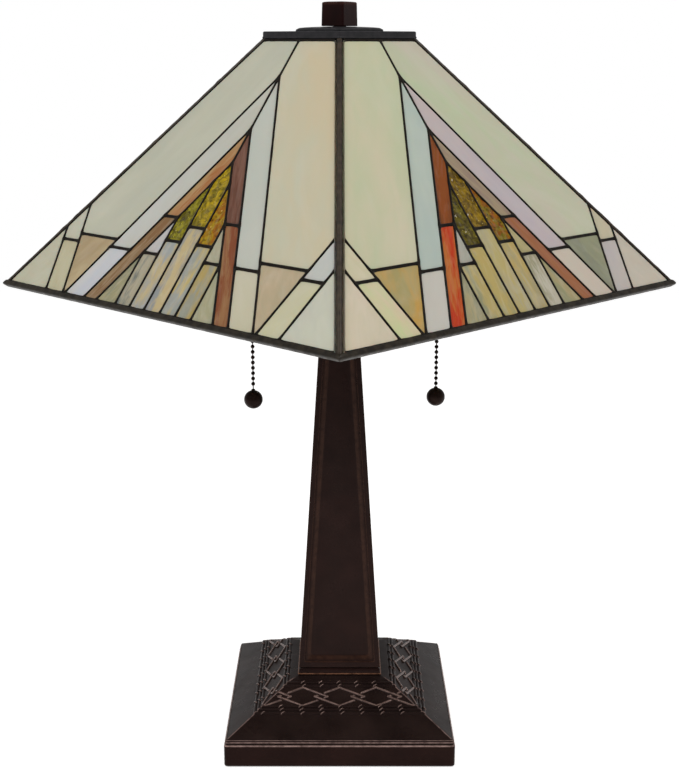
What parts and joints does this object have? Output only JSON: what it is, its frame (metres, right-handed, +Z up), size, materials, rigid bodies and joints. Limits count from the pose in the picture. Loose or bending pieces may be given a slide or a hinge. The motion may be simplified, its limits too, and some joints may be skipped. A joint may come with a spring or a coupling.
{
  "type": "table lamp",
  "caption": "Table lamp with a square pyramid shade of leaded opalescent glass in a stepped mitre pattern, on a tapered panelled column and square base, with pull chains.",
  "frame": {"origin": "centre of the base's underside, on the table", "axes": "+Z up along the lamp's axis; -Y is the front face of the base and column; the shade's corners lie on X and Y"},
  "size_m": [0.5036, 0.5036, 0.5525],
  "materials": {
    "felt": "matt felt",
    "bronze_base": "dark bronze, semi-gloss",
    "bronze_column": "dark bronze, semi-gloss",
    "black_plastic": "matt",
    "antique_brass": "antiqued",
    "bright_brass": "satin",
    "zinc_steel": "zinc plated",
    "wire_jacket": "matt",
    "insulator": "moulded brown",
    "chain_bronze": "dark antique",
    "pull_ball": "dark bronze, gloss",
    "bulb_glass": "frosted white",
    "bulb_metal": "satin",
    "finial_bronze": "mahogany brown, semi-gloss",
    "patina": "dark patina over solder",
    "pale_glass": "opalescent cream",
    "rib_glass": "opalescent amber and brown",
    "gold_glass": "hammered gold",
    "slat_glass": "streaky tan and yellow",
    "corner_glass": "opalescent cream and tan"
  },
  "bodies": {
    "lamp_stand": {"felt_pad": "felt", "base_shell": "bronze_base", "cord_bushing": "black_plastic", "column": "bronze_column", "column_cap": "bronze_column", "centre_pipe": "bright_brass", "pipe_washer": "zinc_steel", "pipe_nut": "zinc_steel", "cluster": "antique_brass", "lead_wires": "wire_jacket", "socket_cap_left": "antique_brass", "socket_cap_right": "antique_brass", "socket_core_left": "insulator", "socket_core_right": "insulator", "socket_shell_left": "bright_brass", "socket_shell_right": "bright_brass", "chain_bell_left": "antique_brass", "chain_bell_right": "antique_brass", "riser_rod": "bright_brass", "shade_rest": "bright_brass"},
    "shade": {"vase_cap": "patina", "crown": "patina", "corner_ribs": "patina", "shade_rim": "patina", "leading_1": "patina", "leading_2": "patina", "leading_3": "patina", "leading_4": "patina", "pale_glass_1": "pale_glass", "pale_glass_2": "pale_glass", "pale_glass_3": "pale_glass", "pale_glass_4": "pale_glass", "rib_glass_1": "rib_glass", "rib_glass_2": "rib_glass", "rib_glass_3": "rib_glass", "rib_glass_4": "rib_glass", "gold_glass_1": "gold_glass", "gold_glass_2": "gold_glass", "gold_glass_3": "gold_glass", "gold_glass_4": "gold_glass", "slat_glass_1": "slat_glass", "slat_glass_2": "slat_glass", "slat_glass_3": "slat_glass", "slat_glass_4": "slat_glass", "corner_glass_1": "corner_glass", "corner_glass_2": "corner_glass", "corner_glass_3": "corner_glass", "corner_glass_4": "corner_glass"},
    "finial": {"finial": "finial_bronze", "finial_insert": "bright_brass"},
    "bulb_left": {"bulb_left": "bulb_glass", "bulb_base_left": "bulb_metal"},
    "switch_left": {"switch_chain_left": "chain_bronze"},
    "chain_left": {"pull_chain_left": "chain_bronze", "pull_ball_left": "pull_ball"},
    "bulb_right": {"bulb_right": "bulb_glass", "bulb_base_right": "bulb_metal"},
    "switch_right": {"switch_chain_right": "chain_bronze"},
    "chain_right": {"pull_chain_right": "chain_bronze", "pull_ball_right": "pull_ball"}
  },
  "joints": [
    {"name": "shade_turn", "type": "hinge", "parent": "lamp_stand", "child": "shade", "pos_m": [0, 0, 0.53], "axis": [0, 0, 1], "continuous": true},
    {"name": "finial_turn", "type": "hinge", "parent": "lamp_stand", "child": "finial", "pos_m": [0, 0, 0.54], "axis": [0, 0, 1], "continuous": true},
    {"name": "bulb_left_turn", "type": "hinge", "parent": "lamp_stand", "child": "bulb_left", "pos_m": [-0.051, 0, 0.39], "axis": [0, 0, 1], "continuous": true},
    {"name": "bulb_right_turn", "type": "hinge", "parent": "lamp_stand", "child": "bulb_right", "pos_m": [0.051, 0, 0.39], "axis": [0, 0, 1], "continuous": true},
    {"name": "pull_left", "type": "slide", "parent": "lamp_stand", "child": "switch_left", "axis": [0, 0, -1], "range_m": [0, 0.008], "stiffness_N_per_m": 400, "springref_m": -0.006},
    {"name": "swing_left", "type": "hinge", "parent": "switch_left", "child": "chain_left", "pos_m": [-0.06424, -0.01757, 0.361], "axis": [0, 1, 0], "range_deg": [-20, 20]},
    {"name": "pull_right", "type": "slide", "parent": "lamp_stand", "child": "switch_right", "axis": [0, 0, -1], "range_m": [0, 0.008], "stiffness_N_per_m": 400, "springref_m": -0.006},
    {"name": "swing_right", "type": "hinge", "parent": "switch_right", "child": "chain_right", "pos_m": [0.073, 0, 0.361], "axis": [0, 1, 0], "range_deg": [-20, 20]}
  ]
}
